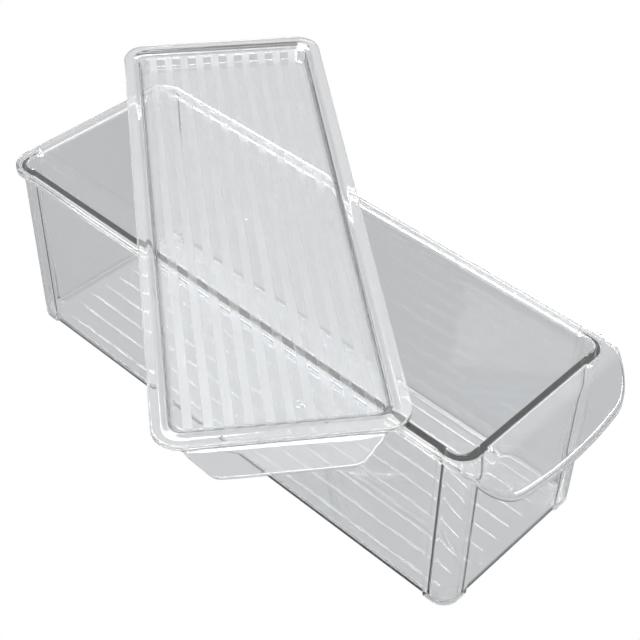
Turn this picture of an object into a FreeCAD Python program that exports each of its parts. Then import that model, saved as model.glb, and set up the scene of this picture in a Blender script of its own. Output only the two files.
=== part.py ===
"""Clear fridge bin: a long narrow moulded box with a pull handle, and its lift-off lid.

Frame: millimetres, +Z up.  The origin is the middle of the flat underside of the bin.
The handle end points to -Y, so X is the width and Y is the length.
The lid lies slantwise on the rim, as it does when it has just been lifted off.
"""
import FreeCAD, Part
import math
import os

Vector = FreeCAD.Vector

# ---- bin: driving dimensions ----
BODY_LENGTH = 300.0        # over the corner posts, at the rim
BODY_WIDTH = 102.2         # over the corner posts, at the rim
HEIGHT = 103.5             # underside to rim
WALL = 1.8                 # wall thickness, measured square to the wall
DRAFT = 0.8                # how much each wall leans in from rim to underside
CORNER_RADIUS = 9.0        # upright corners, outside
POST_LENGTH = 14.4         # corner post, along the long walls
POST_WIDTH = 15.9          # corner post, across the end walls
POST_STEP = 0.9            # posts stand proud of the flat wall panels
FLOOR_THICKNESS = 1.7
PANEL_BOTTOM_RADIUS = 4.0  # rounded foot of the flat panels
FOOT_RADIUS = 1.2          # rounded foot of the corner posts
FLOOR_FILLET = 2.5         # inside, where floor meets wall

RIB_COUNT = 9
RIB_SIDE_GAP = 7.2         # middle of the outermost rib to the inside of the long wall, at the floor
RIB_WIDTH = 1.8
RIB_HEIGHT = 0.6
RIB_END_GAP = 11.0         # rib end to the outside of the end wall

FLANGE = 3.5               # rim flange, outward from the posts
FLANGE_THICKNESS = 2.2
LIP_DEPTH = 3.8            # down-turned edge of the flange
LIP_THICKNESS = 1.5
GUSSET_THICKNESS = 1.2     # small ribs that tie lip to wall beside each post

HANDLE_REACH = 22.5        # handle edge beyond the end wall
HANDLE_SLOPE = 43.0        # degrees down from level
HANDLE_BEND_RADIUS = 10.0  # where the flange bends down into the handle
HANDLE_SIDE_START = 3.2    # handle sides begin to curve in this far behind the end wall
HANDLE_BOW = 1.7           # how far the handle's front edge bows out beyond its round corners

# ---- lid: driving dimensions ----
LID_OVERHANG_SIDE = 0.5    # lid edge beyond the rim flange, at the sides
LID_OVERHANG_END = 2.2     # the same, at the ends
LID_CORNER_RADIUS = 13.0
LID_EDGE_DEPTH = 2.5       # thick outer edge, which lies on the rim
LID_EDGE_WIDTH = 4.7       # along the sides
LID_END_EDGE_WIDTH = 5.7   # across the ends
LID_PANEL_DEPTH = 7.0      # recessed panel below the top of the edge
LID_THICKNESS = 1.5
LID_PLUG_CLEARANCE = 0.4   # recessed part of the lid to the mouth of the bin
LID_SHOULDER_DEPTH = 2.3   # rounded shoulder from the edge into the recess
LID_SIDE_SLOPE = 1.0       # how far each long side of the recess leans in
LID_END_SLOPE = 5.4        # the same, at each end

TAB_SIDE_GAP = 12.1        # lifting tab's upper corners to the sides of the lid
TAB_TAPER = 12.5           # how far each side of the tab leans in
TAB_REACH = 10.3
TAB_SLOPE = 36.0           # degrees down from level
TAB_THICKNESS = 1.2
TAB_LIP_DEPTH = 1.6
TAB_CORNER_RADIUS = 4.0
MARK_DIAMETER = 4.0        # round mould marks on the panel
MARK_HEIGHT = 0.3
MARK_SIDE_SHIFT = 9.3      # the mark near the tab is off the middle line
MARK_END_GAP = 24.7        # and this far from the end of the lid

# ---- how the lid lies on the rim ----
LID_TURN = -38.5           # degrees about Z
LID_CENTRE = (-0.5, 29.3)
LID_REST_GAP = 0.1         # air left between the panel and the rim

# ---- sizes that follow ----
HALF_LENGTH = BODY_LENGTH / 2
HALF_WIDTH = BODY_WIDTH / 2
RIM_HALF_WIDTH = HALF_WIDTH + FLANGE
RIM_HALF_LENGTH = HALF_LENGTH + FLANGE
RIM_CORNER_RADIUS = CORNER_RADIUS + FLANGE
LID_HALF_WIDTH = RIM_HALF_WIDTH + LID_OVERHANG_SIDE
LID_HALF_LENGTH = RIM_HALF_LENGTH + LID_OVERHANG_END
MOUTH_HALF_WIDTH = HALF_WIDTH - POST_STEP - WALL
MOUTH_HALF_LENGTH = HALF_LENGTH - POST_STEP - WALL
RIB_PITCH = 2 * (MOUTH_HALF_WIDTH - DRAFT - RIB_SIDE_GAP) / (RIB_COUNT - 1)
HANDLE_CORNER_RADIUS = HANDLE_REACH + HANDLE_SIDE_START - HANDLE_BOW
TAB_HALF_TOP = LID_HALF_WIDTH - TAB_SIDE_GAP
MARK_PLACES = ((0.0, 0.0), (MARK_SIDE_SHIFT, MARK_END_GAP - LID_HALF_LENGTH))
BIG = 3 * (BODY_LENGTH + BODY_WIDTH + HEIGHT)
CUT = 1.0                  # how far a cutting tool runs past the face it opens


def rounded_rectangle(half_x, half_y, radius, z):
    """Closed wire of a rounded rectangle about the Z axis."""
    turn = math.sqrt(0.5) * radius
    edges = []
    corners = ((1, 1), (-1, 1), (-1, -1), (1, -1))
    for index, (side_x, side_y) in enumerate(corners):
        centre = Vector(side_x * (half_x - radius), side_y * (half_y - radius), z)
        on_side = centre + Vector(side_x * radius, 0, 0)
        on_end = centre + Vector(0, side_y * radius, 0)
        middle = centre + Vector(side_x * turn, side_y * turn, 0)
        first, last = (on_side, on_end) if index % 2 == 0 else (on_end, on_side)
        edges.append(Part.Arc(first, middle, last).toShape())
    joined = []
    for index, edge in enumerate(edges):
        following = edges[(index + 1) % 4]
        joined.append(edge)
        joined.append(Part.makeLine(edge.lastVertex().Point, following.firstVertex().Point))
    return Part.Wire(joined)


def prism(wire, z_bottom, z_top):
    """Upright solid on a closed wire, from one height to the other."""
    face = Part.Face(wire)
    face.translate(Vector(0, 0, z_bottom - wire.BoundBox.ZMin))
    return face.extrude(Vector(0, 0, z_top - z_bottom))


def tapered_box(bottom, top):
    """Solid between two rounded rectangles, each (half_x, half_y, radius, z)."""
    return Part.makeLoft([rounded_rectangle(*bottom), rounded_rectangle(*top)], True, True)


def centred_box(x_from, x_to, y_from, y_to, z_from, z_to):
    return Part.makeBox(x_to - x_from, y_to - y_from, z_to - z_from,
                        Vector(x_from, y_from, z_from))


def section_slab(outline):
    """Wide solid along X whose YZ section is the closed list of edges."""
    face = Part.Face(Part.Wire(outline))
    face.translate(Vector(-BIG / 2, 0, 0))
    return face.extrude(Vector(BIG, 0, 0))


def fillet_foot(solid, radius):
    """Round the edges of the flat underside of a solid."""
    low = solid.BoundBox.ZMin
    edges = [edge for edge in solid.Edges if edge.BoundBox.ZMax < low + 1e-4]
    return solid.makeFillet(radius, edges)


# ---------------------------------------------------------------- bin

def wall_solid(inset, foot_radius, z_bottom):
    """The tapered box of the walls, drawn in by inset, closed at the bottom."""
    lean = DRAFT * (1 - z_bottom / HEIGHT)
    radius = CORNER_RADIUS - inset
    bottom = (HALF_WIDTH - inset - lean, HALF_LENGTH - inset - lean, radius, z_bottom)
    top = (HALF_WIDTH - inset, HALF_LENGTH - inset, radius, HEIGHT)
    return fillet_foot(tapered_box(bottom, top), foot_radius)


def corner_blocks():
    """Four blocks that hold the corner posts."""
    inner_x = HALF_WIDTH - POST_WIDTH
    inner_y = HALF_LENGTH - POST_LENGTH
    blocks = []
    for side_x in (-1, 1):
        for side_y in (-1, 1):
            xs = sorted((side_x * inner_x, side_x * BIG))
            ys = sorted((side_y * inner_y, side_y * BIG))
            blocks.append(centred_box(xs[0], xs[1], ys[0], ys[1], -BIG, BIG))
    return Part.makeCompound(blocks)


def cavity(corners):
    """Inside of the bin: panels and posts, each one wall thickness in."""
    panel_cavity = wall_solid(POST_STEP + WALL, FLOOR_FILLET, FLOOR_THICKNESS)
    post_cavity = wall_solid(WALL, FLOOR_FILLET, FLOOR_THICKNESS).common(corners)
    mouth = rounded_rectangle(MOUTH_HALF_WIDTH, MOUTH_HALF_LENGTH,
                              CORNER_RADIUS - POST_STEP - WALL, HEIGHT)
    return panel_cavity.fuse([post_cavity, prism(mouth, HEIGHT - CUT, HEIGHT + CUT)])


def rim_outline(inset):
    """Outer edge of rim and handle seen from above, drawn in by inset."""
    half = RIM_HALF_WIDTH - inset
    back = RIM_HALF_LENGTH - inset
    back_radius = RIM_CORNER_RADIUS - inset
    side_end = -(HALF_LENGTH - HANDLE_SIDE_START)
    reach = HANDLE_REACH + HANDLE_SIDE_START - inset
    corner = HANDLE_CORNER_RADIUS - inset
    # the front is one flat arc that runs smoothly into the two corner arcs
    across = half - corner
    front_radius = (across ** 2 + reach ** 2 - corner ** 2) / (2 * (reach - corner))
    join = math.atan2(front_radius - reach, across)
    front_centre = Vector(0, side_end - reach + front_radius, 0)

    def on_corner(side, angle):
        return Vector(side * (across + corner * math.cos(angle)),
                      side_end - corner * math.sin(angle), 0)

    def on_front(side, angle):
        return front_centre + Vector(side * front_radius * math.cos(angle),
                                     -front_radius * math.sin(angle), 0)

    turn = math.sqrt(0.5) * back_radius
    back_y = back - back_radius
    back_x = half - back_radius
    points = {
        "side_left": Vector(-half, side_end, 0),
        "side_right": Vector(half, side_end, 0),
        "back_left": Vector(-half, back_y, 0),
        "back_right": Vector(half, back_y, 0),
        "end_left": Vector(-back_x, back, 0),
        "end_right": Vector(back_x, back, 0),
    }
    edges = [
        Part.makeLine(points["side_right"], points["back_right"]),
        Part.Arc(points["back_right"], Vector(back_x + turn, back_y + turn, 0),
                 points["end_right"]).toShape(),
        Part.makeLine(points["end_right"], points["end_left"]),
        Part.Arc(points["end_left"], Vector(-back_x - turn, back_y + turn, 0),
                 points["back_left"]).toShape(),
        Part.makeLine(points["back_left"], points["side_left"]),
        Part.Arc(points["side_left"], on_corner(-1, join / 2), on_corner(-1, join)).toShape(),
        Part.Arc(on_corner(-1, join), on_front(1, math.pi / 2),
                 on_corner(1, join)).toShape(),
        Part.Arc(on_corner(1, join), on_corner(1, join / 2), points["side_right"]).toShape(),
    ]
    return Part.Wire(edges)


def rim_slab(depth):
    """Level slab under the rim plane that bends down past the end wall."""
    slope = math.radians(HANDLE_SLOPE)
    bend = HANDLE_BEND_RADIUS
    bend_start = Vector(0, -HALF_LENGTH, HEIGHT)
    bend_middle = bend_start + Vector(0, -bend * math.sin(slope / 2),
                                      -bend * (1 - math.cos(slope / 2)))
    bend_end = bend_start + Vector(0, -bend * math.sin(slope), -bend * (1 - math.cos(slope)))
    run = HANDLE_REACH + FLANGE + HANDLE_BEND_RADIUS
    far_end = bend_end + Vector(0, -run, -run * math.tan(slope))
    back_end = Vector(0, RIM_HALF_LENGTH + CUT, HEIGHT)
    down = Vector(0, 0, -depth)
    outline = [
        Part.makeLine(back_end, bend_start),
        Part.Arc(bend_start, bend_middle, bend_end).toShape(),
        Part.makeLine(bend_end, far_end),
        Part.makeLine(far_end, far_end + down),
        Part.makeLine(far_end + down, bend_end + down),
        Part.Arc(bend_end + down, bend_middle + down, bend_start + down).toShape(),
        Part.makeLine(bend_start + down, back_end + down),
        Part.makeLine(back_end + down, back_end),
    ]
    return section_slab(outline)


def gussets():
    """Short ribs under the flange where each post meets its panel."""
    blocks = []
    half_thick = GUSSET_THICKNESS / 2
    z_from = HEIGHT - LIP_DEPTH
    z_to = HEIGHT - FLANGE_THICKNESS / 2
    for side in (-1, 1):
        along = side * (HALF_LENGTH - POST_LENGTH)
        across = side * (HALF_WIDTH - POST_WIDTH)
        for face in (-1, 1):
            xs = sorted((face * (HALF_WIDTH - POST_STEP - WALL / 2),
                         face * (RIM_HALF_WIDTH - LIP_THICKNESS / 2)))
            ys = sorted((face * (HALF_LENGTH - POST_STEP - WALL / 2),
                         face * (RIM_HALF_LENGTH - LIP_THICKNESS / 2)))
            blocks.append(centred_box(xs[0], xs[1], along - half_thick, along + half_thick,
                                      z_from, z_to))
            blocks.append(centred_box(across - half_thick, across + half_thick, ys[0], ys[1],
                                      z_from, z_to))
    return blocks


def floor_ribs():
    """Low straight beads along the floor, with round ends."""
    half_long = HALF_LENGTH - RIB_END_GAP
    outline = rounded_rectangle(RIB_WIDTH / 2, half_long, RIB_WIDTH / 2 - 0.01, 0)
    rib = prism(outline, FLOOR_THICKNESS / 2, FLOOR_THICKNESS + RIB_HEIGHT)
    ribs = []
    for index in range(RIB_COUNT):
        copy = rib.copy()
        copy.translate(Vector((index - (RIB_COUNT - 1) / 2) * RIB_PITCH, 0, 0))
        ribs.append(copy)
    return ribs


def make_bin():
    corners = corner_blocks()
    panels = wall_solid(POST_STEP, PANEL_BOTTOM_RADIUS, 0)
    posts = wall_solid(0, FOOT_RADIUS, 0).common(corners)
    outline = prism(rim_outline(0), HEIGHT - BIG / 2, HEIGHT + CUT)
    inner = prism(rim_outline(LIP_THICKNESS), HEIGHT - BIG / 2, HEIGHT + CUT)
    flange = outline.common(rim_slab(FLANGE_THICKNESS))
    lip = outline.cut(inner).common(rim_slab(LIP_DEPTH))
    body = panels.fuse([posts, flange, lip] + gussets())
    return body.cut(cavity(corners)).fuse(floor_ribs()).removeSplitter()


# ---------------------------------------------------------------- lid, in its own frame
# The top of the lid's edge is z = 0, its middle is the origin, its tab points to -Y.

def lid_tray():
    """Edge and recessed panel."""
    edge = prism(rounded_rectangle(LID_HALF_WIDTH, LID_HALF_LENGTH, LID_CORNER_RADIUS, 0),
                 -LID_EDGE_DEPTH, 0)
    plug_x = MOUTH_HALF_WIDTH - LID_PLUG_CLEARANCE
    plug_y = MOUTH_HALF_LENGTH - LID_PLUG_CLEARANCE
    plug_radius = CORNER_RADIUS - POST_STEP - WALL
    floor_z = -LID_PANEL_DEPTH - LID_THICKNESS
    plug = tapered_box(
        (plug_x - LID_SIDE_SLOPE, plug_y - LID_END_SLOPE, plug_radius, floor_z),
        (plug_x, plug_y, plug_radius, -LID_EDGE_DEPTH / 2))
    shoulder = (plug_x - LID_THICKNESS, plug_y - LID_THICKNESS, plug_radius,
                -LID_SHOULDER_DEPTH)
    mouth = (LID_HALF_WIDTH - LID_EDGE_WIDTH, LID_HALF_LENGTH - LID_END_EDGE_WIDTH,
             plug_radius + LID_SHOULDER_DEPTH, 0)
    panel = (shoulder[0] - LID_SIDE_SLOPE, shoulder[1] - LID_END_SLOPE, plug_radius,
             -LID_PANEL_DEPTH)
    tray = edge.fuse(plug)
    return tray.cut([tapered_box(shoulder, mouth), tapered_box(panel, shoulder)])


def tab_outline(inset):
    """Tab seen from above: a trapezium with rounded outer corners."""
    root_y = -(LID_HALF_LENGTH - LID_EDGE_WIDTH)
    fold_y = -LID_HALF_LENGTH
    tip_y = fold_y - TAB_REACH + inset
    side = Vector(-TAB_TAPER, -TAB_REACH, 0)
    side.normalize()
    square = Vector(-side.y, side.x, 0)
    fold = Vector(TAB_HALF_TOP, fold_y, 0) - square * inset
    start = fold + side * ((root_y - fold.y) / side.y)
    tip = fold + side * ((tip_y - fold.y) / side.y)
    radius = TAB_CORNER_RADIUS - inset
    setback = radius / math.tan(math.acos(side.x) / 2)
    on_side = tip - side * setback
    on_tip = tip - Vector(setback, 0, 0)
    centre = on_tip + Vector(0, radius, 0)
    middle = centre + (tip - centre).normalize() * radius
    right = [start, on_side, middle, on_tip]
    left = [Vector(-point.x, point.y, 0) for point in right]
    return Part.Wire([
        Part.makeLine(right[0], right[1]),
        Part.Arc(right[1], right[2], right[3]).toShape(),
        Part.makeLine(right[3], left[3]),
        Part.Arc(left[3], left[2], left[1]).toShape(),
        Part.makeLine(left[1], left[0]),
        Part.makeLine(left[0], right[0]),
    ])


def tab_slab(depth):
    """Slab that slopes down from the lower edge of the lid."""
    slope = math.tan(math.radians(TAB_SLOPE))
    fold = Vector(0, -LID_HALF_LENGTH, -LID_EDGE_DEPTH)
    back = fold + Vector(0, LID_EDGE_WIDTH, LID_EDGE_WIDTH * slope)
    tip = fold + Vector(0, -2 * TAB_REACH, -2 * TAB_REACH * slope)
    down = Vector(0, 0, -depth)
    corners = [back, tip, tip + down, back + down]
    edges = [Part.makeLine(corners[i], corners[(i + 1) % 4]) for i in range(4)]
    return section_slab(edges)


def make_lid():
    z_from = -LID_PANEL_DEPTH - 4 * TAB_REACH
    outline = prism(tab_outline(0), z_from, 0)
    inner = prism(tab_outline(TAB_THICKNESS), z_from, 0)
    outside = centred_box(-BIG, BIG, -BIG, -LID_HALF_LENGTH, -BIG, BIG)
    upright = TAB_THICKNESS / math.cos(math.radians(TAB_SLOPE))
    plate = outline.common(tab_slab(upright))
    edge = outline.cut(inner).common(tab_slab(TAB_LIP_DEPTH)).common(outside)
    marks = []
    for x, y in MARK_PLACES:
        marks.append(Part.makeCylinder(MARK_DIAMETER / 2, MARK_HEIGHT + LID_THICKNESS / 2,
                                       Vector(x, y, -LID_PANEL_DEPTH - LID_THICKNESS / 2)))
    return lid_tray().fuse([plate, edge] + marks).removeSplitter()


def place_lid(lid):
    """Lay the lid slantwise on the rim, its panel just above it."""
    lid.rotate(Vector(0, 0, 0), Vector(0, 0, 1), LID_TURN)
    height = HEIGHT + LID_REST_GAP + LID_PANEL_DEPTH + LID_THICKNESS
    lid.translate(Vector(LID_CENTRE[0], LID_CENTRE[1], height))
    return lid


def report(name, shape):
    box = shape.BoundBox
    print("%s: valid %s, solids %d, volume %.1f mm3, x %.1f..%.1f y %.1f..%.1f z %.1f..%.1f" % (
        name, shape.isValid(), len(shape.Solids), shape.Volume,
        box.XMin, box.XMax, box.YMin, box.YMax, box.ZMin, box.ZMax))


def main():
    os.makedirs("parts", exist_ok=True)
    nodes = {"bin": make_bin(), "lid": place_lid(make_lid())}
    for name, shape in nodes.items():
        report(name, shape)
        shape.exportStep("parts/%s.step" % name)


main()
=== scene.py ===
# Looks of the clear fridge bin and its lift-off lid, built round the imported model.
# The bin and the lid are each one closed moulding, made as rings of points that run round
# the walls. Lengths are written in millimetres and turned into metres when a mesh is made.
import math

import bmesh
import bpy
from mathutils import Matrix, Vector


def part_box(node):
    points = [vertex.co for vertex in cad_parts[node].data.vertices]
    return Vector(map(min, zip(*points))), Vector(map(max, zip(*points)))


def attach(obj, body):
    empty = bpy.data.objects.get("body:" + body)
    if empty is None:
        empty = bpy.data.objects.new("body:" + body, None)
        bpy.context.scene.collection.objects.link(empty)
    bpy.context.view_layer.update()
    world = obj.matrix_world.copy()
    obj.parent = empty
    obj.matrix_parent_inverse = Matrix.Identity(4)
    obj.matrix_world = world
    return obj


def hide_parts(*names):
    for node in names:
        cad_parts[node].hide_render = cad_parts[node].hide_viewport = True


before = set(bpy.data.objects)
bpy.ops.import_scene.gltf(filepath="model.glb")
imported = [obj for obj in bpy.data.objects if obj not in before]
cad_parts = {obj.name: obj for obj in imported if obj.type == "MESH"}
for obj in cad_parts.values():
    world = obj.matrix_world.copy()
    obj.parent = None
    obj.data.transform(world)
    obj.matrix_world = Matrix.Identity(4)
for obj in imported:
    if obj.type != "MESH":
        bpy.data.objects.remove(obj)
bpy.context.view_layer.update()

MM = 0.001
bin_low, bin_high = (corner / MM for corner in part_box("bin"))
lid_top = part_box("lid")[1].z / MM

# ---- bin, read from the frame where it shows there ----
FLANGE = 3.5
HEIGHT = bin_high.z
HALF_WIDTH = bin_high.x - FLANGE
HALF_LENGTH = bin_high.y - FLANGE
HANDLE_REACH = -bin_low.y - HALF_LENGTH
WALL = 1.8
DRAFT = 0.8                # walls lean in by this much from rim to underside
CORNER_RADIUS = 9.0
POST_LENGTH = 14.4         # corner posts along the long walls
POST_WIDTH = 15.9          # and across the end walls
POST_STEP = 0.9
OUTER_STEP_WIDTH = 1.8     # the wall's outside curves from panel to post over this width
INNER_STEP_WIDTH = 2.2
INNER_STEP_SHIFT = 3.0     # the inside does so this much nearer the corner
FLOOR_THICKNESS = 1.7
PANEL_FOOT_RADIUS = 2.0
POST_FOOT_RADIUS = 1.2
FOOT_RING_WIDTH = 5.0      # the standing edge round the underside
FLOOR_FILLET = 2.5
MOUTH_DEPTH = 1.0          # the even band at the top of the inside
MOUTH_STEP = 0.25          # height over which it meets the wall below
MOUTH_ROUNDING = 0.45

FLANGE_THICKNESS = 2.2
UNDER_FILLET = 2.4         # hollow round under the flange: outward from the panels
UNDER_FILLET_RISE = 2.6    # and up the wall
LIP_DEPTH = 3.8
LIP_THICKNESS = 1.5
LIP_INNER_FILLET = 0.4
RIM_ROUNDING = 1.0
HANDLE_ROUNDING = 2.0      # the handle's edge is rounder than the rim's
GUSSET_HALF = 0.6          # half the thickness of the ribs that tie the lip to the wall
GUSSET_REACH = 2.75        # how far they stand out where the lip isn't nearer

HANDLE_SLOPE = math.radians(43.0)
HANDLE_BEND = 10.0
HANDLE_SIDE_START = 3.2
HANDLE_BOW = 1.7

RIB_COUNT = 9
RIB_SIDE_GAP = 7.2
RIB_WIDTH = 1.8
RIB_HEIGHT = 0.22
RIB_END_GAP = 11.0
RIB_MARGIN = 1.4           # flat floor round the beads that shares their grid

# ---- lid ----
LID_TURN = math.radians(-38.5)
LID_CENTRE = (-0.5, 29.3)
LID_HALF_WIDTH = HALF_WIDTH + FLANGE + 0.5
LID_HALF_LENGTH = HALF_LENGTH + FLANGE + 2.2
LID_CORNER_RADIUS = 13.0
LID_EDGE_DEPTH = 2.5
LID_EDGE_WIDTH = 4.7
LID_END_EDGE_WIDTH = 5.7
LID_EDGE_ROUNDING = 0.9
LID_LOWER_ROUNDING = 0.35
LID_UNDERSIDE = 2.6        # flat underside of the edge starts this far in
LID_PANEL_DEPTH = 7.0
LID_THICKNESS = 1.5
LID_PLUG_CLEARANCE = 0.4
LID_SHOULDER_DEPTH = 2.3
LID_SIDE_SLOPE = 1.0
LID_END_SLOPE = 5.4
LID_FOLD_RADIUS = 1.0
TAB_HALF_TOP = LID_HALF_WIDTH - 12.1
TAB_TAPER = 12.5
TAB_REACH = 10.3
TAB_SLOPE = math.tan(math.radians(36.0))
TAB_THICKNESS = 1.48       # measured upright
TAB_CORNER_RADIUS = 4.0
TAB_CORNER_SHARE = 0.35    # turns the corner radius into the width of its blend
TAB_FILLET = 0.3           # rise of the tab's top where it leaves the edge
TAB_TIP_LEAN = 0.6         # how much of the tab's slope its rounded tip follows
TAB_GROWTH = 1.5           # the edge turns into the tab over this much reach
TAB_STATIONS_HALF = 42.0   # sections are close together this far each side of the middle
MARK_RADIUS = 2.0
MARK_HEIGHT = 0.3
MARK_BORDER = 0.45         # flat ring round the middle of its top
MARK_SIDES = 24
MARK_PLACES = ((0.0, 0.0), (9.3, 24.7 - LID_HALF_LENGTH))
STRIPE_PITCH = 8.75
STRIPE_CLEAR = 4.5
STRIPE_COUNT = 11
STRIPE_BLUR = 0.12

# ---- sizes that follow ----
RIM_HALF_WIDTH = HALF_WIDTH + FLANGE
STRAIGHT_X = HALF_WIDTH - CORNER_RADIUS
STRAIGHT_Y = HALF_LENGTH - CORNER_RADIUS
MOUTH_INSET = POST_STEP + WALL
REACH = HANDLE_REACH + HANDLE_SIDE_START
HANDLE_CORNER = REACH - HANDLE_BOW
HANDLE_ACROSS = RIM_HALF_WIDTH - HANDLE_CORNER
HANDLE_FRONT = (HANDLE_ACROSS ** 2 + REACH ** 2 - HANDLE_CORNER ** 2) / (2 * HANDLE_BOW)
SIDE_END = HANDLE_SIDE_START - HALF_LENGTH
JOIN_X = HANDLE_ACROSS * HANDLE_FRONT / (HANDLE_FRONT - HANDLE_CORNER)
RIB_PITCH = 2 * (HALF_WIDTH - MOUTH_INSET - DRAFT - RIB_SIDE_GAP) / (RIB_COUNT - 1)


def spread(start, end, count):
    """count numbers from start to end, both included."""
    return [start + (end - start) * i / (count - 1) for i in range(count)]


def eased(share):
    """0 up to 0, 1 from 1 on, and a smooth rise between."""
    return (1 - math.cos(math.pi * max(0.0, min(1.0, share)))) / 2


def quarter(count):
    """count angles from 0 to a right angle."""
    return spread(0.0, math.pi / 2, count)


# ---------------------------------------------------------------- bin

def lean(z):
    """How far the walls lean in at this height."""
    return DRAFT * (1 - z / HEIGHT)


def slab_top(y):
    """Height of the rim's top face, which bends down beyond the end wall into the handle."""
    past = -HALF_LENGTH - y
    if past <= 0:
        return HEIGHT
    bend = min(past, HANDLE_BEND * math.sin(HANDLE_SLOPE))
    drop = HANDLE_BEND - math.sqrt(HANDLE_BEND ** 2 - bend ** 2)
    return HEIGHT - drop - (past - bend) * math.tan(HANDLE_SLOPE)


class Station:
    """One upright section of the bin's wall.

    place and normal are those of the posts' outside at the rim. outer and inner are 1 where
    the wall's two faces stand out as a corner post and 0 on a panel, gusset is 1 where a
    gusset ties the lip to the wall, and shift says how the section moves when the walls
    lean in."""

    def __init__(self, place, normal, outer=1.0, inner=1.0, gusset=0):
        self.place = Vector(place)
        self.normal = Vector(normal)
        self.outer_inset = POST_STEP * (1 - outer)
        self.inner_inset = POST_STEP * (1 - inner) + WALL
        self.foot_radius = PANEL_FOOT_RADIUS + (POST_FOOT_RADIUS - PANEL_FOOT_RADIUS) * outer
        self.under_fillet = UNDER_FILLET - POST_STEP * outer
        self.gusset = gusset
        self.shift = Vector((max(-1, min(1, place[0] / STRAIGHT_X)),
                             max(-1, min(1, place[1] / STRAIGHT_Y))))
        self.rim, self.rim_normal = rim_point(self.place, self.normal)
        on_handle = eased((SIDE_END - self.rim.y) / HANDLE_REACH)
        self.rounding = RIM_ROUNDING + (HANDLE_ROUNDING - RIM_ROUNDING) * on_handle

    def wall(self, inset, z):
        """Point of the wall, drawn in from the posts' outside."""
        flat = self.place - self.shift * lean(z) - self.normal * inset
        return Vector((flat.x, flat.y, z))

    def edge(self, inset):
        """Place on the plan of rim and handle, drawn in from its outer edge."""
        return self.rim - self.rim_normal * inset


def on_circle(start, direction, centre, radius):
    """Where a line from inside a circle leaves it."""
    gap = start - centre
    along = gap.dot(direction)
    return start + direction * (math.sqrt(along ** 2 - gap.length_squared + radius ** 2) - along)


def rim_point(place, normal):
    """Where the line square to the wall meets the outer edge of rim or handle, and its normal."""
    if place.y > 0 or abs(place.y) < STRAIGHT_Y:
        return place + normal * FLANGE, normal
    side = 1 if place.x >= 0 else -1
    start = place - normal * CORNER_RADIUS
    if abs(place.x) > STRAIGHT_X and abs(normal.x) > 1e-6:
        at_side = start + normal * ((RIM_HALF_WIDTH - STRAIGHT_X) / abs(normal.x))
        if at_side.y >= SIDE_END:
            return at_side, Vector((side, 0))
    front = Vector((0, SIDE_END - REACH + HANDLE_FRONT))
    met = on_circle(start, normal, front, HANDLE_FRONT)
    if abs(met.x) <= JOIN_X:
        return met, (met - front).normalized()
    corner = Vector((side * HANDLE_ACROSS, SIDE_END))
    met = on_circle(start, normal, corner, HANDLE_CORNER)
    return met, (met - corner).normalized()


def step_cluster():
    """(place, outer, inner, gusset) across a post's step, from its panel to the post."""
    made = []
    for place in spread(-OUTER_STEP_WIDTH / 2, INNER_STEP_SHIFT + INNER_STEP_WIDTH / 2, 39):
        outer = eased(place / OUTER_STEP_WIDTH + 0.5)
        inner = eased((place - INNER_STEP_SHIFT) / INNER_STEP_WIDTH + 0.5)
        made.append((place, outer, inner, int(abs(place) <= GUSSET_HALF)))
    return made


def straight_places(limit, step_at, count):
    """(place, outer, inner, gusset) along one wall, from -limit to limit."""
    half = [(limit, 1.0, 1.0, 0)]
    half += [(step_at + place, *rest) for place, *rest in reversed(step_cluster())]
    middle = [(place, 0.0, 0.0, 0) for place in spread(half[-1][0], -half[-1][0], count)[1:-1]]
    return half + middle + [(-place, *rest) for place, *rest in reversed(half)]


def stations():
    """All sections of the bin, once round it."""
    sides = straight_places(STRAIGHT_Y, HALF_LENGTH - POST_LENGTH, 26)
    ends = straight_places(STRAIGHT_X, HALF_WIDTH - POST_WIDTH, 26)
    made = []

    def corner(side_x, side_y, angles):
        for angle in angles:
            normal = (side_x * math.cos(angle), side_y * math.sin(angle))
            place = (side_x * STRAIGHT_X + CORNER_RADIUS * normal[0],
                     side_y * STRAIGHT_Y + CORNER_RADIUS * normal[1])
            made.append(Station(place, normal))

    rising = quarter(30)[1:-1]
    falling = list(reversed(rising))
    for along, *rest in reversed(sides):
        made.append(Station((HALF_WIDTH, along), (1, 0), *rest))
    corner(1, 1, rising)
    for along, *rest in ends:
        made.append(Station((along, HALF_LENGTH), (0, 1), *rest))
    corner(-1, 1, falling)
    for along, *rest in sides:
        made.append(Station((-HALF_WIDTH, along), (-1, 0), *rest))
    corner(-1, -1, rising)
    for along, *rest in reversed(ends):
        made.append(Station((along, -HALF_LENGTH), (0, -1), *rest))
    corner(1, -1, falling)
    return made


def on_slab(flat, drop):
    """Point this far below the top face of rim and handle."""
    return Vector((flat.x, flat.y, slab_top(flat.y) - drop))


def outside_wall(at):
    """Standing edge, foot and outside of the wall, from the underside up to the flange."""
    radius = at.foot_radius
    points = [at.wall(at.outer_inset + radius + FOOT_RING_WIDTH, 0.0)]
    for angle in quarter(8):
        z = radius * (1 - math.cos(angle))
        points.append(at.wall(at.outer_inset + radius * (1 - math.sin(angle)), z))
    top = HEIGHT - FLANGE_THICKNESS - UNDER_FILLET_RISE
    for z in spread(radius, top, 5)[1:]:
        points.append(at.wall(at.outer_inset, z))
    return points


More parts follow.
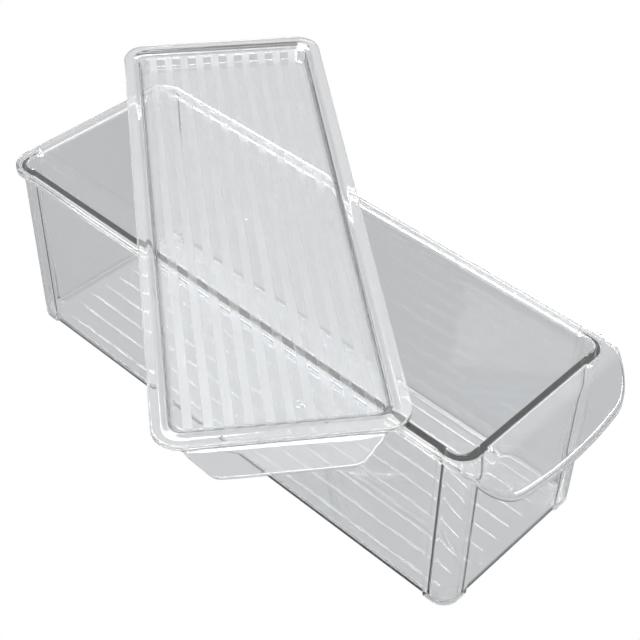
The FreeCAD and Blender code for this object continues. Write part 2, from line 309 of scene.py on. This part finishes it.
def under_flange(at):
    """Hollow round against the wall, underside, and inside of the lip."""
    foot = at.wall(at.outer_inset, HEIGHT - FLANGE_THICKNESS - UNDER_FILLET_RISE)
    foot = Vector((foot.x, foot.y))
    points = []
    for angle in quarter(8)[1:]:
        flat = foot + at.normal * (at.under_fillet * (1 - math.cos(angle)))
        points.append(on_slab(flat, FLANGE_THICKNESS + UNDER_FILLET_RISE * (1 - math.sin(angle))))
    start = Vector((points[-1].x, points[-1].y))
    end = at.edge(LIP_THICKNESS + LIP_INNER_FILLET)
    for share in spread(0, 1, 14)[1:]:
        points.append(on_slab(start.lerp(end, share), FLANGE_THICKNESS))
    for angle in quarter(4)[1:]:
        inset = LIP_THICKNESS + LIP_INNER_FILLET * (1 - math.sin(angle))
        points.append(on_slab(at.edge(inset),
                              FLANGE_THICKNESS + LIP_INNER_FILLET * (1 - math.cos(angle))))
    if at.gusset:
        for point in points:
            away = abs(Vector((point.x, point.y)).dot(at.normal) - at.place.dot(at.normal))
            if away <= GUSSET_REACH:
                point.z = min(point.z, slab_top(point.y) - LIP_DEPTH)
    return points


def lip_and_rim(at):
    """Round bottom of the lip, its outside, the rounded rim edge and the top face."""
    points = []
    half = LIP_THICKNESS / 2
    for angle in spread(0, math.pi, 9):
        inset = half + half * math.cos(angle)
        points.append(on_slab(at.edge(inset), LIP_DEPTH - half * (1 - math.sin(angle))))
    for angle in quarter(9):
        inset = at.rounding * (1 - math.cos(angle))
        points.append(on_slab(at.edge(inset), at.rounding * (1 - math.sin(angle))))
    start = at.edge(at.rounding)
    end = at.place - at.normal * (MOUTH_INSET - MOUTH_ROUNDING)
    for share in spread(0, 1, 24)[1:]:
        points.append(on_slab(start.lerp(end, share), 0))
    return points


def inside_wall(at):
    """Mouth, inside of the wall, and the hollow round at the floor."""
    points = []
    for angle in quarter(5)[1:]:
        z = HEIGHT - MOUTH_ROUNDING * (1 - math.cos(angle))
        inset = MOUTH_INSET - MOUTH_ROUNDING * (1 - math.sin(angle))
        flat = at.place - at.normal * inset
        points.append(Vector((flat.x, flat.y, z)))
    mouth = at.place - at.normal * MOUTH_INSET
    points.append(Vector((mouth.x, mouth.y, HEIGHT - MOUTH_DEPTH)))
    inset = at.inner_inset
    for z in spread(HEIGHT - MOUTH_DEPTH - MOUTH_STEP, FLOOR_THICKNESS + FLOOR_FILLET, 5):
        points.append(at.wall(inset, z))
    for angle in quarter(8)[1:]:
        z = FLOOR_THICKNESS + FLOOR_FILLET * (1 - math.sin(angle))
        points.append(at.wall(inset + FLOOR_FILLET * (1 - math.cos(angle)), z))
    return points


def rib_grid(bm):
    """The part of the floor that carries the beads, as a grid. Returns its outer edges."""
    half = RIB_WIDTH / 2
    tip = HALF_LENGTH - RIB_END_GAP
    across = spread(-half, half, 13)
    centres = [(i - (RIB_COUNT - 1) / 2) * RIB_PITCH for i in range(RIB_COUNT)]
    xs = [centres[0] - half - RIB_MARGIN]
    xs += [centre + d for centre in centres for d in across]
    xs.append(centres[-1] + half + RIB_MARGIN)
    end = [tip - half + half * math.sin(angle) for angle in quarter(8)]
    ys = [-tip - RIB_MARGIN] + [-y for y in reversed(end)]
    ys += spread(half - tip, tip - half, 9)[1:-1] + end + [tip + RIB_MARGIN]

    def height(x, y):
        beyond = max(0.0, abs(y) - (tip - half))
        away = min(math.hypot(x - centre, beyond) for centre in centres)
        if away >= half:
            return 0.0
        return RIB_HEIGHT * (1 + math.cos(math.pi * away / half)) / 2

    grid = [[bm.verts.new((x, y, FLOOR_THICKNESS + height(x, y))) for x in xs] for y in ys]
    for low, high in zip(grid, grid[1:]):
        for i in range(len(xs) - 1):
            bm.faces.new((low[i], low[i + 1], high[i + 1], high[i]))
    right = [row[-1] for row in grid[1:-1]]
    left = [row[0] for row in grid[-2:0:-1]]
    return ring_edges(bm, grid[0] + right + grid[-1][::-1] + left)


def ring_edges(bm, ring):
    """The edges between neighbours of a closed ring."""
    return [bm.edges.get((a, b)) for a, b in zip(ring, ring[1:] + ring[:1])]


def rings_to_faces(bm, rows):
    """Quads between neighbouring sections, once round. Returns the vertices, section by section."""
    made = [[bm.verts.new(point) for point in row] for row in rows]
    for here, following in zip(made, made[1:] + made[:1]):
        for k in range(len(here) - 1):
            bm.faces.new((here[k], following[k], following[k + 1], here[k + 1]))
    return made


def finish_mesh(bm, name, material):
    """Turns a finished bmesh in millimetres into a smooth object in metres."""
    bmesh.ops.recalc_face_normals(bm, faces=bm.faces)
    for face in bm.faces:
        face.smooth = True
    mesh = bpy.data.meshes.new(name)
    bm.to_mesh(mesh)
    bm.free()
    mesh.transform(Matrix.Scale(MM, 4))
    made = bpy.data.objects.new(name, mesh)
    bpy.context.scene.collection.objects.link(made)
    mesh.materials.append(material)
    even = made.modifiers.new("even_normals", "WEIGHTED_NORMAL")
    even.mode = "FACE_AREA"
    even.weight = 80
    return made


def is_foot(place, normal):
    """True on the standing edge below the corner posts, which has a fine grain."""
    on_post = abs(place.x) > HALF_WIDTH - POST_WIDTH and abs(place.y) > HALF_LENGTH - POST_LENGTH
    return on_post and place.z < POST_FOOT_RADIUS and normal.z < -0.3


def make_bin(clear, frosted):
    """The bin as one closed mesh, frosted on the standing edge below its posts."""
    bm = bmesh.new()
    rows = []
    for at in stations():
        rows.append(outside_wall(at) + under_flange(at) + lip_and_rim(at) + inside_wall(at))
    made = rings_to_faces(bm, rows)
    bm.faces.new([column[0] for column in made])
    edges = ring_edges(bm, [column[-1] for column in made])
    bmesh.ops.triangle_fill(bm, use_beauty=True, edges=edges + rib_grid(bm))
    bmesh.ops.recalc_face_normals(bm, faces=bm.faces)
    for face in bm.faces:
        face.material_index = int(is_foot(face.calc_center_median(), face.normal))
    moulding = finish_mesh(bm, "bin_moulding", clear)
    moulding.data.materials.append(frosted)
    return moulding


# ---------------------------------------------------------------- lid, in its own frame

def lid_stations():
    """(region, value): where each section of the lid lies on a rounded rectangle."""
    straight = LID_HALF_WIDTH - LID_CORNER_RADIUS
    front = spread(-TAB_STATIONS_HALF, TAB_STATIONS_HALF, 57)
    made = [("right", t) for t in spread(-1, 1, 7)]
    made += [("corner", (1, 1, a)) for a in quarter(18)[1:-1]]
    made += [("back", t) for t in spread(1, -1, 7)]
    made += [("corner", (-1, 1, a)) for a in reversed(quarter(18)[1:-1])]
    made += [("left", t) for t in spread(1, -1, 7)]
    made += [("corner", (-1, -1, a)) for a in quarter(18)[1:-1]]
    made += [("front", x / straight) for x in [-straight] + front + [straight]]
    made += [("corner", (1, -1, a)) for a in reversed(quarter(18)[1:-1])]
    return made


def lid_place(where, half_x, half_y, radius):
    """Plan place and normal of a section on one rounded rectangle."""
    region, value = where
    if region in ("right", "left"):
        side = 1 if region == "right" else -1
        return Vector((side * half_x, value * (half_y - radius))), Vector((side, 0))
    if region in ("back", "front"):
        side = 1 if region == "back" else -1
        return Vector((value * (half_x - radius), side * half_y)), Vector((0, side))
    side_x, side_y, angle = value
    normal = Vector((side_x * math.cos(angle), side_y * math.sin(angle)))
    centre = Vector((side_x * (half_x - radius), side_y * (half_y - radius)))
    return centre + normal * radius, normal


def lid_levels():
    """The lid's rounded rectangles, from its recessed panel out to the edge's top."""
    plug_x = HALF_WIDTH - MOUTH_INSET - LID_PLUG_CLEARANCE
    plug_y = HALF_LENGTH - MOUTH_INSET - LID_PLUG_CLEARANCE
    plug_radius = CORNER_RADIUS - MOUTH_INSET
    shoulder = (plug_x - LID_THICKNESS, plug_y - LID_THICKNESS, plug_radius, -LID_SHOULDER_DEPTH)
    panel = (shoulder[0] - LID_SIDE_SLOPE, shoulder[1] - LID_END_SLOPE, plug_radius,
             -LID_PANEL_DEPTH)
    mouth = (LID_HALF_WIDTH - LID_EDGE_WIDTH, LID_HALF_LENGTH - LID_END_EDGE_WIDTH,
             plug_radius + LID_SHOULDER_DEPTH, 0.0)
    foot = (plug_x - LID_SIDE_SLOPE, plug_y - LID_END_SLOPE, plug_radius,
            -LID_PANEL_DEPTH - LID_THICKNESS)
    share = (LID_EDGE_DEPTH / 2) / (LID_PANEL_DEPTH + LID_THICKNESS - LID_EDGE_DEPTH / 2)
    root = tuple(a + (b - a) * share for a, b in zip((plug_x, plug_y, plug_radius, 0), foot))
    root = root[:3] + (-LID_EDGE_DEPTH,)
    return panel, shoulder, mouth, root, foot


def bend_between(low, corner, high, count):
    """Levels on a smooth curve from low to high that leaves each towards corner."""
    made = []
    for t in spread(0, 1, count):
        made.append(tuple((1 - t) ** 2 * a + 2 * t * (1 - t) * b + t ** 2 * c
                          for a, b, c in zip(low, corner, high)))
    return made


def between(low, high, share):
    """The level this share of the way from low to high."""
    return tuple(a + (b - a) * share for a, b in zip(low, high))


def drawn_in(level, inset, z):
    """The same rounded rectangle, smaller by inset all round, at this height."""
    return (level[0] - inset, level[1] - inset, level[2] - inset, z)


def upper_levels():
    """From the panel up the recess, over its shoulder, and out to the start of the rounded edge."""
    panel, shoulder, mouth, _, _ = lid_levels()
    flat = drawn_in(panel, LID_FOLD_RADIUS, panel[3])
    rise = between(panel, shoulder, LID_FOLD_RADIUS / (LID_PANEL_DEPTH - LID_SHOULDER_DEPTH))
    levels = bend_between(flat, panel, rise, 6)
    before = between(panel, shoulder, 0.9)
    levels += [between(rise, before, 0.5)]
    levels += bend_between(before, shoulder, between(shoulder, mouth, 0.15), 5)
    outer = (LID_HALF_WIDTH, LID_HALF_LENGTH, LID_CORNER_RADIUS, 0.0)
    inner = drawn_in(outer, LID_EDGE_ROUNDING, 0.0)
    levels += bend_between(between(shoulder, mouth, 0.8), mouth, between(mouth, inner, 0.2), 5)
    levels += [between(mouth, inner, share) for share in (0.55, 0.9)]
    return levels


def edge_levels():
    """The rounded outer edge, down to its lower corner."""
    outer = (LID_HALF_WIDTH, LID_HALF_LENGTH, LID_CORNER_RADIUS, 0.0)
    levels = []
    for angle in quarter(7):
        levels.append(drawn_in(outer, LID_EDGE_ROUNDING * (1 - math.sin(angle)),
                               -LID_EDGE_ROUNDING * (1 - math.cos(angle))))
    levels.append(drawn_in(outer, 0, -LID_EDGE_DEPTH + LID_LOWER_ROUNDING))
    return levels


def lower_levels():
    """Underside of the edge, the outside of the recess, and its rounded foot."""
    _, _, _, root, foot = lid_levels()
    outer = (LID_HALF_WIDTH, LID_HALF_LENGTH, LID_CORNER_RADIUS, 0.0)
    start = drawn_in(outer, LID_UNDERSIDE, -LID_EDGE_DEPTH)
    near_root = between(root, start, 0.2)
    below_root = between(root, foot, 0.08)
    levels = [start, between(start, near_root, 0.6)]
    levels += bend_between(near_root, root, below_root, 4)
    fold = LID_FOLD_RADIUS + LID_THICKNESS * 0.7
    high = between(foot, root, fold / (LID_PANEL_DEPTH + LID_THICKNESS - LID_EDGE_DEPTH))
    levels += [between(below_root, high, 0.5)]
    levels += bend_between(high, foot, drawn_in(foot, fold, foot[3]), 8)
    return levels


def level_points(where, levels):
    """One section's points on these levels."""
    points = []
    for half_x, half_y, radius, z in levels:
        place, _ = lid_place(where, half_x, half_y, radius)
        points.append(Vector((place.x, place.y, z)))
    return points


def tab_extent(x):
    """How far the tab stands out at this place across the lid."""
    side = (TAB_HALF_TOP - abs(x)) / TAB_TAPER * TAB_REACH
    if side <= 0:
        return 0.0
    excess = side - TAB_REACH
    blend = TAB_CORNER_RADIUS * TAB_CORNER_SHARE
    return TAB_REACH + (excess - math.sqrt(excess ** 2 + blend ** 2)) / 2


def tab_section(extent):
    """(out, z) round the tab where it stands out this far: its top, its tip, its underside."""
    half = TAB_THICKNESS / 2
    reach = max(0.0, extent - half)
    points = []
    for share in spread(0.02, 1, 9):
        out = reach * share
        fillet = TAB_FILLET * max(0.0, 1 - out) ** 2
        points.append((out, -LID_EDGE_DEPTH - out * TAB_SLOPE + fillet))
    for angle in spread(0, math.pi, 9)[1:-1]:
        bulge = half * math.sin(angle)
        drop = half * (1 - math.cos(angle)) + bulge * TAB_SLOPE * TAB_TIP_LEAN
        points.append((reach + bulge, -LID_EDGE_DEPTH - reach * TAB_SLOPE - drop))
    back = -TAB_THICKNESS / TAB_SLOPE
    for share in spread(1, 0, 9):
        out = back + (reach - back) * share
        points.append((out, -LID_EDGE_DEPTH - TAB_THICKNESS - out * TAB_SLOPE))
    return points


def tab_points(where):
    """Lower corner of the edge, drawn out into the tab across the front."""
    place, normal = lid_place(where, LID_HALF_WIDTH, LID_HALF_LENGTH, LID_CORNER_RADIUS)
    extent = tab_extent(place.x) if place.y < 0 else 0.0
    grown = min(1.0, extent / TAB_GROWTH)
    grown = grown * grown * (3 - 2 * grown)
    section = tab_section(extent)
    margin = 0.1    # radians, so that no point falls on the level above
    angles = spread(margin, math.pi / 2 - margin, len(section))
    points = []
    for angle, (out, z) in zip(angles, section):
        flat = place - normal * (LID_LOWER_ROUNDING * (1 - math.cos(angle)))
        rise = LID_LOWER_ROUNDING * (1 - math.sin(angle))
        kept = Vector((flat.x, flat.y, rise - LID_EDGE_DEPTH))
        points.append(kept.lerp(Vector((place.x, place.y - out, z)), grown))
    return points


def raised_mark(bm, x, y):
    """A low round mould mark on the panel. Returns the edges round its foot."""
    rings = []
    top = MARK_RADIUS - MARK_HEIGHT / 2
    for radius, z in ((MARK_RADIUS, 0.0), (top, MARK_HEIGHT), (top - MARK_BORDER, MARK_HEIGHT)):
        ring = []
        for step in range(MARK_SIDES):
            angle = 2 * math.pi * step / MARK_SIDES
            ring.append(bm.verts.new((x + radius * math.cos(angle), y + radius * math.sin(angle),
                                      z - LID_PANEL_DEPTH)))
        rings.append(ring)
    for low, high in zip(rings, rings[1:]):
        for k in range(MARK_SIDES):
            bm.faces.new((low[k], low[k - 1], high[k - 1], high[k]))
    bm.faces.new(rings[-1])
    return [bm.edges.get((rings[0][k], rings[0][k - 1])) for k in range(MARK_SIDES)]


def is_striped(place, normal):
    """True on the top of the recessed panel and on the slope behind it, where the stripes run."""
    if normal.z < 0.15 or place.z > -LID_SHOULDER_DEPTH:
        return False
    if place.y < LID_EDGE_WIDTH - LID_HALF_LENGTH:
        return False
    return place.z < 0.1 - LID_PANEL_DEPTH or (place.y > 0 and normal.y < -0.1)


def make_lid(clear, striped):
    """The lid as one closed mesh, turned and laid on the rim."""
    bm = bmesh.new()
    rows = []
    for where in lid_stations():
        above = level_points(where, upper_levels() + edge_levels())
        rows.append(above + tab_points(where) + level_points(where, lower_levels()))
    made = rings_to_faces(bm, rows)
    edges = ring_edges(bm, [column[0] for column in made])
    for x, y in MARK_PLACES:
        edges += raised_mark(bm, x, y)
    bmesh.ops.triangle_fill(bm, use_beauty=True, edges=edges)
    bm.faces.new([column[-1] for column in made])
    bmesh.ops.recalc_face_normals(bm, faces=bm.faces)
    plan = bm.loops.layers.uv.new("plan")
    for face in bm.faces:
        face.material_index = int(is_striped(face.calc_center_median(), face.normal))
        for loop in face.loops:
            loop[plan].uv = (loop.vert.co.x, loop.vert.co.y)
    lid = finish_mesh(bm, "lid_moulding", clear)
    lid.data.materials.append(striped)
    lid.data.transform(Matrix.Translation((LID_CENTRE[0] * MM, LID_CENTRE[1] * MM, lid_top * MM))
                       @ Matrix.Rotation(LID_TURN, 4, "Z"))
    return lid


# ---------------------------------------------------------------- materials

BIN_CLEARNESS = 0.985      # the rest of the light is scattered at the surface
LID_CLEARNESS = 0.96
FOOT_CLEARNESS = 0.7
REFRACTIVE_INDEX = 1.57
GLOSS_ROUGHNESS = 0.02
GRAIN_ROUGHNESS = 0.6
STRIPE_ROUGHNESS = (0.03, 0.42)    # of the clear and the frosted stripes
WAVE_SCALE = 28.0
WAVE_DETAIL = 2.0
WAVE_STRENGTH = 0.04
WAVE_DEPTH = 0.002
TINT = (0.86, 0.9, 0.93, 1)
TINT_DENSITY = 2.0


def clear_plastic(name, clearness):
    """Glossy clear plastic with a trace of haze, and faint waves from the mould."""
    material = bpy.data.materials.new(name)
    material.use_nodes = True
    nodes, links = material.node_tree.nodes, material.node_tree.links
    shader = nodes["Principled BSDF"]
    shader.inputs["Base Color"].default_value = (1, 1, 1, 1)
    shader.inputs["Roughness"].default_value = GLOSS_ROUGHNESS
    shader.inputs["IOR"].default_value = REFRACTIVE_INDEX
    shader.inputs["Transmission Weight"].default_value = clearness
    place = nodes.new("ShaderNodeTexCoord")
    waves = nodes.new("ShaderNodeTexNoise")
    waves.inputs["Scale"].default_value = WAVE_SCALE
    waves.inputs["Detail"].default_value = WAVE_DETAIL
    bump = nodes.new("ShaderNodeBump")
    bump.inputs["Strength"].default_value = WAVE_STRENGTH
    bump.inputs["Distance"].default_value = WAVE_DEPTH
    links.new(place.outputs["Object"], waves.inputs["Vector"])
    links.new(waves.outputs["Fac"], bump.inputs["Height"])
    links.new(bump.outputs["Normal"], shader.inputs["Normal"])
    absorb = nodes.new("ShaderNodeVolumeAbsorption")
    absorb.inputs["Color"].default_value = TINT
    absorb.inputs["Density"].default_value = TINT_DENSITY
    links.new(absorb.outputs["Volume"], nodes["Material Output"].inputs["Volume"])
    return material


def frosted_plastic(name, clearness):
    """Clear plastic with a fine grain all over."""
    material = clear_plastic(name, clearness)
    shader = material.node_tree.nodes["Principled BSDF"]
    shader.inputs["Roughness"].default_value = GRAIN_ROUGHNESS
    return material


def striped_plastic(name, clearness):
    """The lid's clear plastic, with stripes of a fine frosted grain between clear ones."""
    material = clear_plastic(name, clearness)
    nodes, links = material.node_tree.nodes, material.node_tree.links
    shader = nodes["Principled BSDF"]
    place = nodes.new("ShaderNodeUVMap")
    place.uv_map = "plan"
    split = nodes.new("ShaderNodeSeparateXYZ")
    links.new(place.outputs["UV"], split.inputs[0])

    def maths(operation, first, second=None):
        node = nodes.new("ShaderNodeMath")
        node.operation = operation
        for socket, value in zip(node.inputs, (first, second)):
            if isinstance(value, (int, float)):
                socket.default_value = value
            elif value is not None:
                links.new(value, socket)
        return node.outputs[0]

    across = maths("ABSOLUTE", split.outputs["X"])
    from_clear = maths("PINGPONG", across, STRIPE_PITCH / 2)
    grain = nodes.new("ShaderNodeMapRange")
    grain.inputs["From Min"].default_value = STRIPE_CLEAR / 2 - STRIPE_BLUR
    grain.inputs["From Max"].default_value = STRIPE_CLEAR / 2 + STRIPE_BLUR
    links.new(from_clear, grain.inputs["Value"])
    inside = maths("LESS_THAN", across, STRIPE_PITCH * STRIPE_COUNT / 2)
    frosted = maths("MULTIPLY", grain.outputs["Result"], inside)
    rough = nodes.new("ShaderNodeMapRange")
    rough.inputs["To Min"].default_value = STRIPE_ROUGHNESS[0]
    rough.inputs["To Max"].default_value = STRIPE_ROUGHNESS[1]
    links.new(frosted, rough.inputs["Value"])
    links.new(rough.outputs["Result"], shader.inputs["Roughness"])
    return material


# ---------------------------------------------------------------- room, light and camera

TABLE_HALF = 6.0
TABLE_GAP = 0.0006         # the table lies this far below the bin
TABLE_GLOW = (0.95, 0.975, 1.0, 1)
BACKDROP = 0.52            # how bright the table is as the plastic shows it
FAR_TABLE = 0.06           # and how bright it is away from its light patch
GLOW_CENTRE = (0.7, 0.7, 0.0)
GLOW_FADE = (1.4, 2.4)     # distances from that centre over which it darkens
SIDE_BLEND = 0.35          # half the stretch over which the room's two sides blend
LIGHT_AIM = (0, 0, 0.05)
CAMERA_PLACE = (-0.37907, -0.37019, 0.53753)
CAMERA_TURN = (-47.28, 47.70, 1.258)    # heading, tilt up from straight down, and roll
CAMERA_LENS = 79.33
SENSOR_WIDTH = 36.0
CAMERA_NEAR = 0.02
BACK = (0.73, 0.68, 0.0)   # level direction away from the camera
# brightness of the room by height, 0 at the horizon and 1 straight up
DARK_SIDE = ((0.0, 0.05), (0.3, 0.15), (0.6, 0.7), (1.0, 0.9))
LIGHT_SIDE = ((0.0, 0.5), (0.4, 0.8), (0.6, 1.2), (0.75, 1.2), (0.9, 0.9), (1.0, 0.9))


def only_seen_direct(nodes, links, direct, other):
    """A mix of two emissions: one for what the camera sees, one for all other rays."""
    path = nodes.new("ShaderNodeLightPath")
    mix = nodes.new("ShaderNodeMixShader")
    links.new(path.outputs["Is Camera Ray"], mix.inputs["Fac"])
    links.new(other.outputs[0], mix.inputs[1])
    links.new(direct.outputs[0], mix.inputs[2])
    return mix


def make_floor():
    """A table that is white where it is seen directly, and grey where the plastic shows it."""
    mesh = bpy.data.meshes.new("floor")
    bm = bmesh.new()
    bmesh.ops.create_grid(bm, x_segments=1, y_segments=1, size=TABLE_HALF)
    bm.to_mesh(mesh)
    bm.free()
    floor = bpy.data.objects.new("floor", mesh)
    floor.location.z = -TABLE_GAP
    bpy.context.scene.collection.objects.link(floor)
    material = bpy.data.materials.new("white_table")
    material.use_nodes = True
    nodes, links = material.node_tree.nodes, material.node_tree.links
    nodes.remove(nodes["Principled BSDF"])
    white = nodes.new("ShaderNodeEmission")
    white.inputs["Strength"].default_value = 1.0
    glow = nodes.new("ShaderNodeEmission")
    glow.inputs["Color"].default_value = TABLE_GLOW
    place = nodes.new("ShaderNodeTexCoord")
    away = nodes.new("ShaderNodeVectorMath")
    away.operation = "DISTANCE"
    away.inputs[1].default_value = GLOW_CENTRE
    fade = nodes.new("ShaderNodeMapRange")
    fade.interpolation_type = "SMOOTHSTEP"
    fade.inputs["From Min"].default_value = GLOW_FADE[0]
    fade.inputs["From Max"].default_value = GLOW_FADE[1]
    fade.inputs["To Min"].default_value = BACKDROP
    fade.inputs["To Max"].default_value = FAR_TABLE
    links.new(place.outputs["Object"], away.inputs[0])
    links.new(away.outputs["Value"], fade.inputs["Value"])
    links.new(fade.outputs["Result"], glow.inputs["Strength"])
    mix = only_seen_direct(nodes, links, white, glow)
    links.new(mix.outputs[0], nodes["Material Output"].inputs["Surface"])
    mesh.materials.append(material)


def make_world():
    """A studio that is light behind the object and above it, and dark on the camera's side."""
    world = bpy.data.worlds.new("studio")
    bpy.context.scene.world = world
    world.use_nodes = True
    nodes, links = world.node_tree.nodes, world.node_tree.links
    nodes.clear()
    output = nodes.new("ShaderNodeOutputWorld")
    white = nodes.new("ShaderNodeBackground")
    white.inputs["Color"].default_value = (1, 1, 1, 1)
    room = nodes.new("ShaderNodeBackground")
    place = nodes.new("ShaderNodeTexCoord")
    split = nodes.new("ShaderNodeSeparateXYZ")
    links.new(place.outputs["Generated"], split.inputs[0])
    sides = []
    for shades in (DARK_SIDE, LIGHT_SIDE):
        ramp = nodes.new("ShaderNodeValToRGB")
        stops = ramp.color_ramp.elements
        for stop, (position, value) in zip(stops, (shades[0], shades[-1])):
            stop.position = position
            stop.color = (value, value, value, 1)
        for position, value in shades[1:-1]:
            stops.new(position).color = (value, value, value, 1)
        links.new(split.outputs["Z"], ramp.inputs["Fac"])
        sides.append(ramp)
    toward = nodes.new("ShaderNodeVectorMath")
    toward.operation = "DOT_PRODUCT"
    toward.inputs[1].default_value = BACK
    links.new(place.outputs["Generated"], toward.inputs[0])
    share = nodes.new("ShaderNodeMapRange")
    share.interpolation_type = "SMOOTHSTEP"
    share.inputs["From Min"].default_value = -SIDE_BLEND
    share.inputs["From Max"].default_value = SIDE_BLEND
    links.new(toward.outputs["Value"], share.inputs["Value"])
    blend = nodes.new("ShaderNodeMix")
    blend.data_type = "RGBA"
    links.new(share.outputs["Result"], blend.inputs["Factor"])
    links.new(sides[0].outputs["Color"], blend.inputs[6])
    links.new(sides[1].outputs["Color"], blend.inputs[7])
    links.new(blend.outputs[2], room.inputs["Color"])
    mix = only_seen_direct(nodes, links, white, room)
    links.new(mix.outputs[0], output.inputs["Surface"])


def soft_box(name, place, aim, width, height, power):
    """A rectangular studio light that faces aim."""
    data = bpy.data.lights.new(name, "AREA")
    data.shape = "RECTANGLE"
    data.size = width
    data.size_y = height
    data.energy = power
    lamp = bpy.data.objects.new(name, data)
    lamp.location = place
    direction = Vector(aim) - Vector(place)
    lamp.rotation_mode = "QUATERNION"
    lamp.rotation_quaternion = direction.to_track_quat("-Z", "Y")
    bpy.context.scene.collection.objects.link(lamp)
    return lamp


def make_lights():
    """Soft boxes round the object: their place, width, height and power."""
    soft_box("back_light", (-0.08, 0.74, 1.42), LIGHT_AIM, 1.0, 0.8, 25)
    soft_box("left_light", (-1.3, 0.6, 1.0), LIGHT_AIM, 0.4, 1.1, 7)
    soft_box("top_light", (-0.45, 0.05, 1.6), LIGHT_AIM, 0.3, 0.5, 8)
    soft_box("front_light", (-0.3, -1.0, 1.1), LIGHT_AIM, 1.3, 0.35, 18)
    soft_box("right_light", (0.81, -1.2, 0.3), LIGHT_AIM, 0.7, 0.14, 6)


def make_camera():
    """The camera looks down from the left of the handle end."""
    data = bpy.data.cameras.new("camera")
    data.sensor_width = SENSOR_WIDTH
    data.lens = CAMERA_LENS
    camera = bpy.data.objects.new("camera", data)
    heading, tilt, roll = (math.radians(angle) for angle in CAMERA_TURN)
    turn = Matrix.Rotation(heading, 4, "Z") @ Matrix.Rotation(tilt, 4, "X")
    turn = turn @ Matrix.Rotation(roll, 4, "Z")
    camera.matrix_world = Matrix.Translation(CAMERA_PLACE) @ turn
    data.clip_start = CAMERA_NEAR
    bpy.context.scene.collection.objects.link(camera)
    bpy.context.scene.camera = camera


bin_piece = make_bin(clear_plastic("clear_bin_plastic", BIN_CLEARNESS),
                     frosted_plastic("frosted_foot_plastic", FOOT_CLEARNESS))
lid_piece = make_lid(clear_plastic("clear_lid_plastic", LID_CLEARNESS),
                     striped_plastic("striped_lid_plastic", LID_CLEARNESS))
for piece, node in ((bin_piece, "bin"), (lid_piece, "lid")):
    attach(piece, node)
    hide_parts(node)

make_floor()
make_world()
make_lights()
make_camera()
bpy.context.scene.view_settings.view_transform = "Standard"
